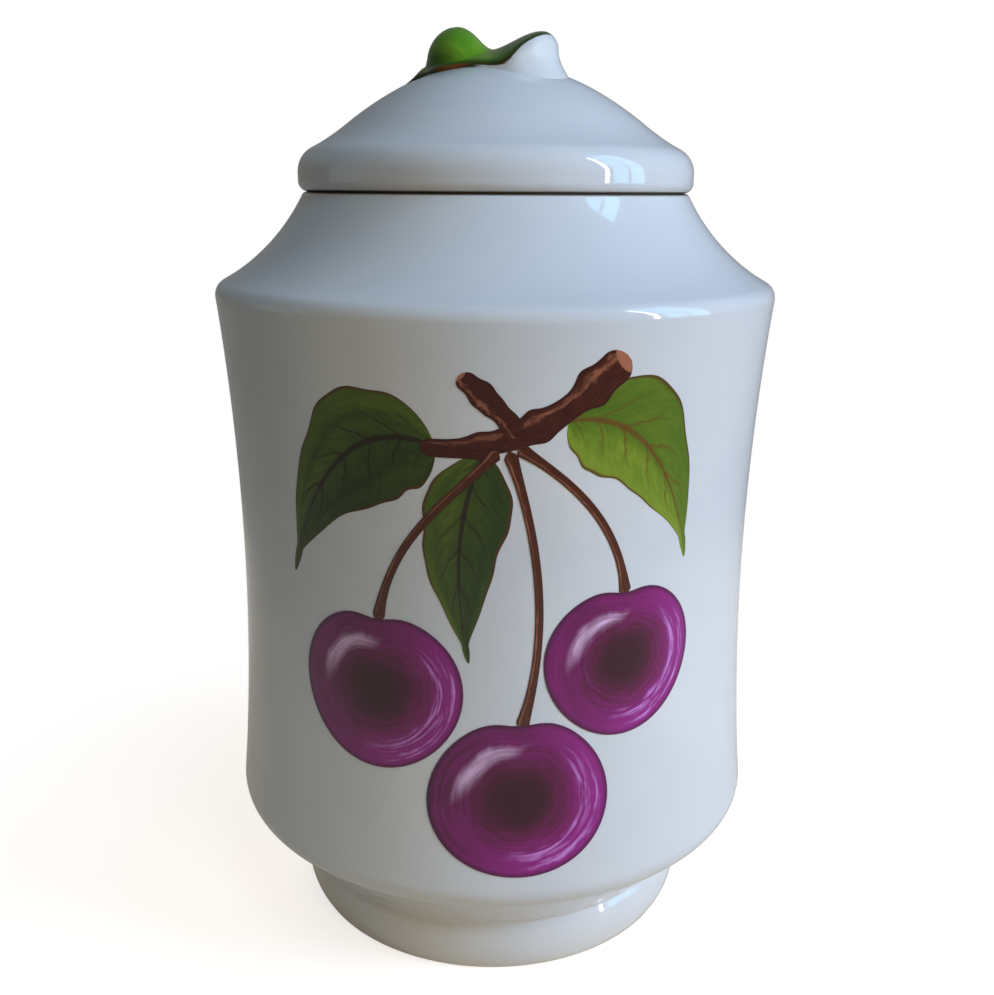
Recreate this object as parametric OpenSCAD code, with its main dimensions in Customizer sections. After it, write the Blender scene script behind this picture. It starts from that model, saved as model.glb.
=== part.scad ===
// Glazed earthenware jam pot: a waisted jar on a foot, a lift-off lid that locates in
// the mouth, and a moulded leaf luted to the lid as its knob. Millimetres, +Z up,
// origin at the centre of the foot's resting face.

/* [Jar foot] */
// Radius of the foot where it meets the table
foot_r = 33.5; // [31:0.1:36]
// Extra radius of the foot at its shoulder
foot_flare = 1.3; // [0.5:0.1:3]
// Height of the foot's shoulder, before rounding
foot_h = 8; // [6.5:0.1:11]
// Rounding of the foot's shoulder
foot_round = 2.2; // [0.5:0.1:3]
// How far the crease under the belly lies inside the foot's shoulder
crease_draw = 0.7; // [0.4:0.1:1.5]
// Height of the crease above the foot's shoulder
crease_rise = 1.3; // [1:0.1:2]
// Rounding of the crease
crease_round = 0.5; // [0.2:0.1:0.6]
// How far the side of the foot bulges
foot_bulge = 0.9; // [0.2:0.1:1.2]
// Rounding of the foot's lower edge
foot_edge = 0.9; // [0.3:0.1:1.5]
// Width of the ring that the pot stands on
foot_ring_w = 5; // [3.5:0.1:8]
// Depth of the recess inside the ring
foot_recess = 2.6; // [1:0.1:3.5]

/* [Jar wall] */
// Radius of the belly's lower corner, before rounding
hip_r = 46.2; // [43:0.1:50]
// Height of the belly's lower corner
hip_h = 21.5; // [18:0.1:26]
// Rounding of the belly's lower corner
hip_round = 4.7; // [2:0.1:6]
// How far the wall draws in at the waist
waist_draw = 2.4; // [0.5:0.1:5]
// Radius of the shoulder's corner, before rounding
crest_r = 46.4; // [43:0.1:50]
// Height of the shoulder's corner
crest_h = 110.4; // [100:0.1:114]
// Rounding of the shoulder's corner
crest_round = 2.5; // [1:0.1:4]
// How far the shoulder draws in between crest and rim
shoulder_draw = 1.7; // [0.4:0.1:3]
// Height of the rim that the lid rests on
rim_h = 125.1; // [122:0.1:135]
// Outer radius of the rim
rim_r = 31.5; // [30:0.1:34]
// Rounding of the rim's two edges
rim_round = 0.9; // [0.3:0.1:1.2]
// Radius of the mouth
mouth_r = 26.8; // [24:0.1:27.5]
// Depth of the straight land inside the mouth
mouth_land = 2.6; // [2:0.1:4]
// Thickness of the jar's wall
jar_wall = 4; // [3:0.1:5]
// Thickness of the jar's floor
floor_t = 4.6; // [3:0.1:6]
// Rounding inside the jar where wall and floor meet
inner_round = 6; // [2:0.1:9]

/* [Lid] */
// Radius of the lid's rim
lid_r = 32.3; // [31:0.1:35]
// Height of the lid's corner above its seat, before rounding
lid_band_h = 5.6; // [4.5:0.1:7]
// Rounding of the lid's corner
lid_round = 4.3; // [2:0.1:5]
// Rounding of the lid's lower edge
lid_edge = 1.6; // [0.5:0.1:2.2]
// Radius where the slope turns from hollow to round
ogee_r = 23.9; // [21:0.1:26]
// Height of that turn above the seat
ogee_h = 10.8; // [9.5:0.1:12]
// How far the lower slope draws in
ogee_draw = 0.3; // [0.1:0.1:1]
// Radius of the crown, where the upper slope ends
crown_r = 16; // [15.6:0.1:18]
// Height of the crown's edge above the seat
crown_h = 15.9; // [14.5:0.1:17]
// How far the upper slope bulges
slope_bulge = 0.2; // [0.1:0.1:0.8]
// Rise of the crown above its edge
crown_rise = 4; // [3:0.1:5]
// Thickness of the lid at its centre
lid_wall = 4; // [3.2:0.1:5]
// Height of the hollow's edge above the seat
hollow_h = 6.4; // [5:0.1:7]
// Length of the locating flange below the seat
flange_l = 5; // [3:0.1:8]
// Thickness of the locating flange
flange_t = 3; // [2:0.1:4]
// Play between the flange and the mouth, on the radius
lid_play = 0.6; // [0.3:0.1:1.2]

/* [Leaf knob] */
// How far the leaf's middle lies left of the lid's centre
leaf_shift = 3; // [2:0.1:4]
// Length of the leaf from its middle to its raised tip
tip_l = 12.9; // [11:0.1:14]
// Length of the leaf from its middle to its stalk end
back_l = 8.6; // [8:0.1:10]
// Half width of the leaf at its raised tip
tip_half_w = 12; // [10:0.1:12.5]
// Half width of the leaf beside the lobe
back_half_w = 7.7; // [7.2:0.1:10]
// Where the leaf starts to widen, left of the lid's centre
widen_shift = 6; // [4:0.1:8]
// Length over which it widens
widen_l = 10; // [7:0.1:12]
// Roundness of the leaf's outline: 1 is an oval, less is squarer
leaf_oval = 0.75; // [0.6:0.05:1]
// Length of the stalk beyond the leaf
stalk_l = 3.1; // [1:0.1:3.5]
// Angle from the stalk's middle over which it widens into the leaf
stalk_turn = 13; // [8:1:20]
// Height of the stalk's ridge
stalk_rise = 0.8; // [0.2:0.1:1.2]
// Width of the stalk's ridge
stalk_w = 2; // [1:0.1:3]
// Share of the margin's height that is lost along the stalk
stalk_thin = 0.6; // [0:0.1:0.8]
// Height of the margin above the lid at the stalk end
margin_low = 0.7; // [0.5:0.1:1.2]
// Height of the leaf above the lid at the raised tip
margin_high = 5.6; // [4:0.1:7]
// Where the leaf starts to rise, left of the lid's centre
rise_shift = 1.5; // [0:0.1:3]
// Length over which it rises
rise_l = 9.5; // [7:0.1:11]
// Extra height of the leaf's middle beside the lobe
leaf_crown = 1.3; // [0.5:0.1:2]
// Length over which the middle rises from the stalk
crown_l = 4; // [2:0.1:6]
// Height of the rolled lobe above the middle of the lid
lobe_h = 5.5; // [4:0.1:6]
// Reach of the lobe towards the stalk
lobe_back = 5; // [4:0.1:5.5]
// Reach of the lobe towards the tip
lobe_run = 7.2; // [5:0.1:8]
// Half width of the rolled lobe
lobe_half_w = 6.4; // [5:0.1:7]
// How far the lobe's top lies left of the lid's centre
lobe_shift = 6.2; // [5:0.1:6.5]
// How much softer the lobe falls towards the tip than to the stalk
lobe_ease = 1.1; // [0:0.1:1.5]
// Width of the blend between lobe and leaf
lobe_blend = 1.6; // [0.5:0.1:2.5]
// Rounding of the leaf's edge
margin_round = 2; // [0.5:0.1:2.5]
// Spread of the raised side towards the tip, where it meets the lid
skirt_tip = 1.4; // [0.5:0.1:2]
// Spread of the raised side to the left and right of the tip
skirt_side = 4.6; // [1:0.1:5]
// Depth of the luted bond below the lid's surface
bond = 0.6; // [0.3:0.1:1]

/* [Hidden] */
glaze = [0.93, 0.95, 0.96];
leaf_green = [0.34, 0.53, 0.17];
$fn = 96;
// Points on each bowed stretch and each rounded corner of a turned outline
bow_steps = 12;
corner_steps = 6;
// Rings of the knob from its middle to its margin, and down its side
leaf_rings = 10;
side_rings = 5;
leaf_sides = 56;

lid_top = rim_h + crown_h + crown_rise;
cap_r = (crown_r * crown_r + crown_rise * crown_rise) / (2 * crown_rise);
flange_r = mouth_r - lid_play;
hollow_r = flange_r - flange_t;
crease = [foot_r + foot_flare - crease_draw, foot_h + crease_rise];
leaf_middle = [-leaf_shift, 0];

// Turned outlines are lists of [radius, height]

// Arc from a to b in n steps, bowed by sag to the right of the way from a to b
function bow(a, b, sag, n) =
    let (half = (b - a) / 2, l = norm(half), side = [half.y, -half.x] / l)
    let (r = (l * l + sag * sag) / (2 * sag), turn = asin(l / r), middle = (a + b) / 2 + side * (sag - r))
    [for (i = [0 : n]) let (t = turn * (2 * i / n - 1)) middle + r * (cos(t) * side + sin(t) * half / l)];

// Arc of radius r that rounds the corner c between p and q
function corner(p, c, q, r) =
    let (u = (p - c) / norm(p - c), v = (q - c) / norm(q - c), half = acos(u * v) / 2)
    let (middle = c + (u + v) / norm(u + v) * r / sin(half), start = c + u * r / tan(half) - middle)
    let (sense = u.x * v.y - u.y * v.x > 0 ? -1 : 1, sweep = sense * (180 - 2 * half))
    [for (i = [0 : corner_steps]) middle + turned(start, sweep * i / corner_steps)];

function turned(v, a) = [v.x * cos(a) - v.y * sin(a), v.x * sin(a) + v.y * cos(a)];

// All points but the first and the last
function inside(list) = [for (i = [1 : len(list) - 2]) list[i]];

// Outer side of the jar, from the resting face up to the rim
function jar_outside() =
    let (rest = [foot_r, 0], ankle = [foot_r + foot_flare, foot_h], hip = [hip_r, hip_h])
    let (crest = [crest_r, crest_h], rim = [rim_r, rim_h], foot = bow(rest, ankle, foot_bulge, bow_steps))
    let (wall = bow(hip, crest, -waist_draw, bow_steps))
    let (shoulder = bow(crest, rim, -shoulder_draw, bow_steps))
    concat(
        corner([foot_r - foot_ring_w, 0], rest, foot[2], foot_edge),
        [for (i = [2 : bow_steps - 2]) foot[i]],
        corner(foot[bow_steps - 1], ankle, crease, foot_round), corner(ankle, crease, hip, crease_round),
        corner(crease, hip, wall[1], hip_round), inside(wall),
        corner(wall[bow_steps - 1], crest, shoulder[2], crest_round),
        [for (i = [2 : bow_steps - 1]) shoulder[i]],
        corner(shoulder[bow_steps - 1], rim, [mouth_r, rim_h], rim_round)
    );

// Inner side of the jar, from the mouth down to the middle of the floor
function jar_inside() =
    let (mouth = [mouth_r, rim_h], land = [mouth_r, rim_h - mouth_land], floor_z = foot_recess + floor_t)
    let (crest_turn = atan2(crest_r - rim_r, rim_h - crest_h))
    let (crest = [crest_r - jar_wall, crest_h - jar_wall * tan(crest_turn / 2)])
    let (rise = [hip_r, hip_h] - crease, along = rise / norm(rise))
    let (start = crease + jar_wall * [-along.y, along.x])
    let (hip = start + along * (hip_r - jar_wall - start.x) / along.x)
    let (toe = start + along * (floor_z - start.y) / along.y)
    let (neck = bow(land, crest, shoulder_draw, bow_steps), wall = bow(crest, hip, waist_draw, bow_steps))
    concat(
        corner([rim_r, rim_h], mouth, land, rim_round), neck,
        inside(wall), corner(wall[bow_steps - 1], hip, toe, inner_round),
        corner(hip, toe, [0, floor_z], inner_round), [[0, floor_z]]
    );

// The jar with its foot, turned from one outline
module jar() {
    ring_r = foot_r - foot_ring_w;
    underside = [[0, foot_recess], [ring_r - foot_recess, foot_recess], [ring_r, 0]];
    color(glaze) rotate_extrude() polygon(concat(underside, jar_outside(), jar_inside()));
}

// Height of the lid's crown at distance r from its centre
function crown_z(r) = lid_top - cap_r + sqrt(cap_r * cap_r - r * r);

// Arc from the edge of a round cap to its top on the axis, where it is level
function cap(edge, top) =
    let (r = edge.x, h = top - edge.y, ball = (r * r + h * h) / (2 * h))
    bow(edge, [0, top], ball - sqrt(ball * ball - (r * r + h * h) / 4), bow_steps);

// Upper side of the lid, from its corner to the centre
function lid_upper() =
    let (shoulder = [lid_r, rim_h + lid_band_h], ogee = [ogee_r, rim_h + ogee_h])
    let (crown = [crown_r, rim_h + crown_h])
    concat(
        bow(shoulder, ogee, -ogee_draw, bow_steps), inside(bow(ogee, crown, slope_bulge, bow_steps)),
        cap(crown, lid_top)
    );

// The lid: rim, ogee slope and crown, hollow below, with its locating flange
module lid() {
    upper = lid_upper();
    seat = [lid_r, rim_h];
    ceiling = cap([hollow_r, rim_h + hollow_h], lid_top - lid_wall);
    flange_foot = rim_h - flange_l;
    outside = concat(
        corner([flange_r, rim_h], seat, upper[0], lid_edge), corner(seat, upper[0], upper[2], lid_round),
        [for (i = [2 : len(upper) - 1]) upper[i]]
    );
    hollow = [for (i = [bow_steps : -1 : 0]) ceiling[i]];
    flange = [[hollow_r, flange_foot], [flange_r, flange_foot], [flange_r, rim_h]];
    color(glaze) rotate_extrude() polygon(concat(outside, hollow, flange));
}

// Smooth step from 0 to 1, and a maximum with its crease blended over the width k
function ease(t) = let (c = min(max(t, 0), 1)) c * c * (3 - 2 * c);
function soft_max(a, b, k) = let (h = max(k - abs(a - b), 0) / k) max(a, b) + h * h * k / 4;
function power(v, p) = sign(v) * pow(abs(v), p);

// Half width of the leaf at the place x along it
function leaf_half_w(x) = back_half_w + (tip_half_w - back_half_w) * ease((x + widen_shift) / widen_l);

// Margin of the leaf in plan at the angle a: a squarish oval, wider at its tip, with the
// stalk at 180 degrees
function margin(a) =
    let (x = (cos(a) > 0 ? tip_l : back_l) * power(cos(a), leaf_oval) - leaf_shift)
    [x - stalk_l * exp(-pow((a - 180) / stalk_turn, 2)), leaf_half_w(x) * power(sin(a), leaf_oval)];

// Height of the leaf above the lid: it rises from a low margin and crowned middle to its
// tip, and half of an ellipsoid, drawn out towards the tip, makes the rolled lobe
function leaf_rise(p) =
    let (lift = ease((p.x + rise_shift) / rise_l), across = max(1 - pow(p.y / leaf_half_w(p.x), 2), 0))
    let (along = p.x + leaf_shift + back_l)
    let (ridge = stalk_rise * exp(-pow(p.y / stalk_w, 2) - pow(2 * along / stalk_l, 2)))
    let (edge = margin_low * (1 - stalk_thin * ease(-along / stalk_l)))
    let (middle = leaf_crown * across * ease(along / crown_l))
    let (leaf = (edge + middle) * (1 - lift) + margin_high * lift + ridge)
    let (u = (p.x + lobe_shift) / (p.x > -lobe_shift ? lobe_run : lobe_back), v = p.y / lobe_half_w)
    let (ball = 1 - u * u - v * v, soft = u > 0 ? lobe_ease * u * u / (u * u + v * v) : 0)
    soft_max(leaf, lid_top + lobe_h * power(ball, 0.5 + soft) - crown_z(norm(p)), lobe_blend);

// Ring of the leaf's upper side at the share s of the way to the margin
function leaf_ring(s) =
    [for (i = [0 : leaf_sides - 1])
        let (edge = margin(360 * i / leaf_sides), p = leaf_middle * (1 - s) + edge * s, h = leaf_rise(p))
        let (into = max(margin_round - norm(edge - p), 0) / margin_round)
        [p.x, p.y, crown_z(norm(p)) + h - min(margin_round, h / 2) * (1 - sqrt(1 - into * into))]
    ];

// Ring of the knob's side at the share t of the way from the margin to the bond
function side_ring(t) =
    let (edge = leaf_ring(1))
    [for (i = [0 : leaf_sides - 1])
        let (p = [edge[i].x, edge[i].y], out = (p - leaf_middle) / norm(p - leaf_middle))
        let (tall = leaf_rise(p) / margin_high, skirt = skirt_tip + (skirt_side - skirt_tip) * abs(out.y))
        let (q = p + out * skirt * tall * t * t)
        [q.x, q.y, (1 - t) * edge[i].z + t * (crown_z(norm(q)) - bond)]
    ];

// The moulded leaf with its solid side, one closed skin of rings
module leaf_knob() {
    n = leaf_sides;
    top = [for (k = [1 : leaf_rings]) leaf_ring(sin(90 * k / leaf_rings))];
    sides = [for (k = [1 : side_rings]) side_ring(k / side_rings)];
    apex = [leaf_middle.x, leaf_middle.y, crown_z(leaf_shift) + leaf_rise(leaf_middle)];
    under = [leaf_middle.x, leaf_middle.y, crown_z(leaf_shift) - 2 * bond];
    rings = concat(top, sides);
    last = len(rings) - 1;
    points = concat([apex], [for (r = rings) each r], [under]);
    faces = concat(
        [for (i = [0 : n - 1]) [0, 1 + (i + 1) % n, 1 + i]],
        [for (k = [0 : last - 1], i = [0 : n - 1])
            let (j = (i + 1) % n, a = 1 + k * n, b = a + n)
            each [[a + i, a + j, b + j], [a + i, b + j, b + i]]],
        [for (i = [0 : n - 1]) [1 + last * n + i, 1 + last * n + (i + 1) % n, len(points) - 1]]
    );
    color(leaf_green) polyhedron(points, faces);
}

jar();
lid();
leaf_knob();
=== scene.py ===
"""Looks of a glazed jam pot: white jar and lid, a moulded leaf as the knob and a painted sprig.

Everything is in metres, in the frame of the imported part: +Z up, -Y towards the painted front.
Turned outlines, the leaf and the painted shapes are given in millimetres and scaled by MM.
"""
import logging
import math
from dataclasses import dataclass
from enum import Enum
from functools import partialmethod

import bpy
import numpy as np
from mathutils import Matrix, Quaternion, Vector


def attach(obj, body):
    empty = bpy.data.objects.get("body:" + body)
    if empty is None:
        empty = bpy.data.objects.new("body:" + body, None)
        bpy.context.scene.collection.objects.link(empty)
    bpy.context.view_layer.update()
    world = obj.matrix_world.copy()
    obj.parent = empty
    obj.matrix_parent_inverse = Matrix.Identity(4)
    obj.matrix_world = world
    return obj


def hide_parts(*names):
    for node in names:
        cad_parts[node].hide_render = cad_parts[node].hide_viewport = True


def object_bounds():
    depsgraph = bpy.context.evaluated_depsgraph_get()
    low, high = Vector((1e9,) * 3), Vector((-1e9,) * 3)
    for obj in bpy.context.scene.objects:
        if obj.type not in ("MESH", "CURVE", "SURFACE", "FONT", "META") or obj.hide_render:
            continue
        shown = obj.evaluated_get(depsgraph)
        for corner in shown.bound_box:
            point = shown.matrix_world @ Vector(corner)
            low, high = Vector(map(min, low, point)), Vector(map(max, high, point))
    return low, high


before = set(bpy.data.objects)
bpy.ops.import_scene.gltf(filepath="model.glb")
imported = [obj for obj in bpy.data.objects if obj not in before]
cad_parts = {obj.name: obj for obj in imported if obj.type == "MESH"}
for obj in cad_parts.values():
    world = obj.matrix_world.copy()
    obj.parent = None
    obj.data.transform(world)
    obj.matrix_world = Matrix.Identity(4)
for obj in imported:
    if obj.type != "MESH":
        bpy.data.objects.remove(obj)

MM = 0.001
BRUSH = "brush"
FLAWS, STROKES = "glaze_flaws", "brush_strokes"
CAD_LOW, CAD_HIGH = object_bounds()
SHARP_FROM = math.radians(50)
SAME_POINT = 1e-6
TINY = 1e-9
BLACK, WHITE = (0.0, 0.0, 0.0), (1.0, 1.0, 1.0)
log = logging.getLogger("jam_pot")

Colour = tuple[float, float, float]
Point = tuple[float, float]
Span = tuple[float, float]
Piece = bpy.types.Object
Material = bpy.types.Material
Tree = bpy.types.NodeTree
Node = bpy.types.Node
Socket = bpy.types.NodeSocket
Number = "Value | float"
Given = "Value | Node | Colour | float"


def srgb(red: int, green: int, blue: int) -> Colour:
    """Linear colour of a screen colour, by the two branches of the sRGB curve.

    Args:
        red: Red from 0 to 255.
        green: Green.
        blue: Blue.

    Returns:
        Red, green and blue from 0 to 1.
    """
    full, toe, slope, lift, power = 255, 0.04045, 12.92, 0.055, 2.4
    share = np.array([red, green, blue]) / full
    linear = np.where(share <= toe, share / slope, ((share + lift) / (1 + lift)) ** power)
    return tuple(float(v) for v in linear)


def ease(t: np.ndarray) -> np.ndarray:
    """Smooth step: 3 t^2 - 2 t^3 with t held between 0 and 1."""
    c = np.clip(t, 0, 1)
    return c * c * (3 - 2 * c)


def waved(t: np.ndarray, rates: Span, depths: Span, seed: float) -> np.ndarray:
    """One plus two waves: depth sin(rate t + seed), and the second with twice the seed."""
    return 1 + depths[0] * np.sin(t * rates[0] + seed) + depths[1] * np.sin(t * rates[1] + 2 * seed)


def bow(start: Point, end: Point, sag: float, steps: int) -> np.ndarray:
    """Circular arc that leaves the chord from start to end by sag at its middle.

    The circle has radius (l^2 + sag^2) / (2 sag), where l is half the chord.

    Args:
        start: First point, radius and height.
        end: Last point.
        sag: Height of the arc over its chord, to the right of the way from start to end.
        steps: Number of stretches.

    Returns:
        Points on the arc, shape (steps + 1, 2).
    """
    start, end = np.asarray(start, float), np.asarray(end, float)
    half = (end - start) / 2
    length = np.hypot(*half)
    side = np.array([half[1], -half[0]]) / length
    radius = (length**2 + sag**2) / (2 * sag)
    middle = (start + end) / 2 + side * (sag - radius)
    turn = np.linspace(-1, 1, steps + 1)[:, None] * math.asin(length / radius)
    return middle + radius * (np.cos(turn) * side + np.sin(turn) * half / length)


def rounded(before: Point, tip: Point, after: Point, radius: float, steps: int = 12) -> np.ndarray:
    """Arc of a given radius that touches both sides of a corner.

    Args:
        before: A point on the side that comes into the corner.
        tip: The corner itself.
        after: A point on the side that leaves it.
        radius: Radius of the rounding.
        steps: Number of stretches.

    Returns:
        Points on the arc, shape (steps + 1, 2).
    """
    tip = np.asarray(tip, float)
    u, v = np.asarray(before, float) - tip, np.asarray(after, float) - tip
    u, v = u / np.hypot(*u), v / np.hypot(*v)
    half = math.acos(float(u @ v)) / 2
    middle = tip + (u + v) / np.hypot(*(u + v)) * radius / math.sin(half)
    first = tip + u * radius / math.tan(half) - middle
    sense = -1 if u[0] * v[1] - u[1] * v[0] > 0 else 1
    turn = sense * (math.pi - 2 * half) * np.linspace(0, 1, steps + 1)[:, None]
    return middle + np.cos(turn) * first + np.sin(turn) * np.array([-first[1], first[0]])


def bezier(points: list[Point], steps: int) -> np.ndarray:
    """Cubic curve through the first and last of four points, drawn towards the two between.

    Args:
        points: Four points on the flat drawing, in millimetres.
        steps: Number of stretches.

    Returns:
        Points on the curve in metres, shape (steps + 1, 2).
    """
    t = np.linspace(0, 1, steps + 1)[:, None]
    weights = np.hstack([(1 - t) ** 3, 3 * t * (1 - t) ** 2, 3 * t**2 * (1 - t), t**3])
    return weights @ np.array(points) * MM


def ring_solid(
    name: str, rings: np.ndarray, poles: np.ndarray, brush: np.ndarray | None = None
) -> Piece:
    """Closed skin over a stack of rings, with a point at either end.

    Neighbouring rings are joined by four-sided faces and the end rings by fans. The faces are
    turned outwards by the sign of the enclosed volume.

    Args:
        name: Name of the piece.
        rings: Points of the rings, shape (rings, sides, 3).
        poles: The two end points, shape (2, 3).
        brush: Paint coordinates of the rings, shape (rings, sides, 3), or None.

    Returns:
        The new piece, linked to the scene.
    """
    count, sides = rings.shape[:2]
    points = np.concatenate([rings.reshape(-1, 3), poles])
    side = np.arange(sides)
    beside = (side + 1) % sides
    low = (np.arange(count - 1) * sides)[:, None]
    high = low + sides
    quads = np.stack([low + side, low + beside, high + beside, high + side], -1).reshape(-1, 4)
    last, first_pole = (count - 1) * sides, count * sides
    fans = np.concatenate([
        np.stack([beside, side, np.full(sides, first_pole)], -1),
        np.stack([last + side, last + beside, np.full(sides, first_pole + 1)], -1),
    ])
    corners = points[np.concatenate([quads[:, :3], quads[:, [0, 2, 3]], fans])]
    if np.einsum("ij,ij->", corners[:, 0], np.cross(corners[:, 1], corners[:, 2])) < 0:
        quads, fans = quads[:, ::-1], fans[:, ::-1]
    mesh = bpy.data.meshes.new(name)
    mesh.from_pydata(points.tolist(), [], quads.tolist() + fans.tolist())
    mesh.shade_smooth()
    mesh.set_sharp_from_angle(angle=SHARP_FROM)
    if brush is not None:
        ends = np.stack([brush[0].mean(0), brush[-1].mean(0)])
        values = np.concatenate([brush.reshape(-1, 3), ends]).astype(np.float32)
        mesh.attributes.new(BRUSH, "FLOAT_VECTOR", "POINT").data.foreach_set("vector", values.ravel())
    piece = bpy.data.objects.new(name, mesh)
    bpy.context.scene.collection.objects.link(piece)
    return piece


def turned(name: str, outline: np.ndarray, sides: int) -> Piece:
    """Body of revolution: each outline point (r, z) becomes the circle (r cos a, r sin a, z).

    Points that repeat the one before them are left out.

    Args:
        name: Name of the piece.
        outline: Radius and height in millimetres, with its first and last point on the axis.
        sides: Points on each circle.

    Returns:
        The new piece.
    """
    step = np.hypot(*np.diff(outline, axis=0).T)
    outline = outline[np.concatenate([[True], step > SAME_POINT])]
    angle = np.linspace(0, 2 * math.pi, sides, endpoint=False)
    radius, height = outline[1:-1, :1] * MM, outline[1:-1, 1:] * MM
    rings = np.stack([radius * np.cos(angle), radius * np.sin(angle), height + 0 * angle], -1)
    ends = outline[[0, -1], 1] * MM
    return ring_solid(name, rings, np.stack([0 * ends, 0 * ends, ends], -1))


class Value:
    """A number or mask that changes over the surface.

    Each sign between two of them adds a Math node: * is where two masks meet, and | joins them.
    """

    def __init__(self, sketch: "Sketch", socket: Socket) -> None:
        """Keeps an output socket and the sketch that it belongs to."""
        self.sketch = sketch
        self.socket = socket

    def math(self, operation: str, other: Number = 0.0) -> "Value":
        """Result of a Math node on this and another number."""
        return self.sketch.math(operation, self, other)

    __add__ = partialmethod(math, "ADD")
    __sub__ = partialmethod(math, "SUBTRACT")
    __mul__ = partialmethod(math, "MULTIPLY")
    __truediv__ = partialmethod(math, "DIVIDE")
    __or__ = partialmethod(math, "MAXIMUM")
    __abs__ = partialmethod(math, "ABSOLUTE")

    def __rsub__(self, other: float) -> "Value":
        """A number less this."""
        return self.sketch.math("SUBTRACT", other, self)

    def rise(self, span: Span) -> "Value":
        """Smooth step from 0 at the first number of a span to 1 at its second, the larger or smaller."""
        smooth = {"interpolation_type": "SMOOTHSTEP"}
        return self.sketch.out(self.sketch.add("MapRange", smooth, self, *span))

    def near(self, middle: float, half: Span) -> "Value":
        """Mask around a middle: 0 where the value is half[0] or more away, 1 within half[1]."""
        return abs(self - middle).rise(half)


class Sketch:
    """Short calls that add nodes to one node tree and link them."""

    def __init__(self, tree: Tree) -> None:
        """Keeps the tree that the nodes go into."""
        self.tree = tree

    def feed(self, target: Socket, given: Given) -> None:
        """Links a value or a node's first output to an input, or sets the input to a constant.

        Args:
            target: The input socket.
            given: What goes in.
        """
        if isinstance(given, Node):
            given = self.out(given)
        if isinstance(given, Value):
            self.tree.links.new(given.socket, target)
        elif target.type == "RGBA":
            target.default_value = (*given, 1.0)
        else:
            target.default_value = given

    def fill(self, node: Node, **inputs: Given) -> Node:
        """Feeds a node.

        Args:
            node: The node.
            **inputs: What goes in by input name, with _ for a blank.

        Returns:
            The same node.
        """
        for key, given in inputs.items():
            self.feed(node.inputs[key.replace("_", " ")], given)
        return node

    def add(
        self, kind: str, settings: dict[str, object] | None = None, *ordered: Given, **named: Given
    ) -> Node:
        """Adds a node.

        Args:
            kind: Type of the node, without its ShaderNode prefix.
            settings: Properties of the node.
            *ordered: What goes into its first inputs, of those that the settings leave in use.
            **named: What goes in by input name, with _ for a blank.

        Returns:
            The new node.
        """
        node = self.tree.nodes.new("ShaderNode" + kind)
        for key, value in (settings or {}).items():
            setattr(node, key, value)
        for target, given in zip([s for s in node.inputs if s.enabled], ordered):
            self.feed(target, given)
        return self.fill(node, **named)

    def out(self, node: Node, name: str | None = None) -> Value:
        """One output of a node, by default the first that is in use."""
        return Value(self, node.outputs[name] if name else next(s for s in node.outputs if s.enabled))

    def group(self, name: str, **inputs: Given) -> list[Value]:
        """Places a shared group with its own values and gives its outputs in order."""
        node = self.add("Group", {"node_tree": bpy.data.node_groups[name]}, **inputs)
        return [Value(self, socket) for socket in node.outputs]

    def math(self, operation: str, first: Number, second: Number) -> Value:
        """Result of a Math node on two numbers."""
        return self.out(self.add("Math", {"operation": operation}, first, second))

    def length(self, vector: Value) -> Value:
        """Length of a vector."""
        return self.out(self.add("VectorMath", {"operation": "LENGTH"}, vector))

    def mix(self, mask: Value, under: Given, over: Given) -> Value:
        """Colour that goes from under to over as the mask goes from 0 to 1."""
        return self.out(self.add("Mix", {"data_type": "RGBA"}, mask, under, over))

    def coats(self, colour: Given, *coats: tuple[Value, Given]) -> Value:
        """Lays colours over one another.

        Args:
            colour: The lowest colour.
            *coats: Mask and colour of each coat, from below.

        Returns:
            The colour that shows.
        """
        for mask, over in coats:
            colour = self.mix(mask, colour, over)
        return colour

    def noise(self, vector: Value, scale: float, detail: float = 2.0) -> Value:
        """Value of a noise texture at a place."""
        return self.out(self.add("TexNoise", None, Vector=vector, Scale=scale, Detail=detail))

    def vector(self, x: Number, y: Number, z: Number) -> Value:
        """Vector of three numbers."""
        return self.out(self.add("CombineXYZ", None, X=x, Y=y, Z=z))

    def parts(self, vector: Value) -> list[Value]:
        """The three numbers of a vector."""
        node = self.add("SeparateXYZ", None, Vector=vector)
        return [self.out(node, axis) for axis in "XYZ"]

    def place(self) -> Value:
        """Place on the piece, in the frame."""
        return self.out(self.add("TexCoord"), "Object")

    def brush(self) -> list[Value]:
        """The three paint coordinates of the piece."""
        return self.parts(self.out(self.add("Attribute", {"attribute_name": BRUSH}), "Vector"))

    def close(self, kind: str, shader: Node) -> None:
        """Adds an output node and gives it the shader."""
        self.add(kind, None, shader)


class GlazeSketch(Sketch):
    """Nodes of a glazed material, with the glaze's clouds, pinholes and ripple at hand."""

    def __init__(self, tree: Tree) -> None:
        """Places the glaze's group."""
        super().__init__(tree)
        self.cloud, self.pinhole, self.ripple = self.group(FLAWS, Place=self.place())


def new_material(name: str) -> Material:
    """Material without nodes.

    Args:
        name: Its name.

    Returns:
        The new material.
    """
    material = bpy.data.materials.new(name)
    material.use_nodes = True
    material.node_tree.nodes.clear()
    return material


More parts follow.
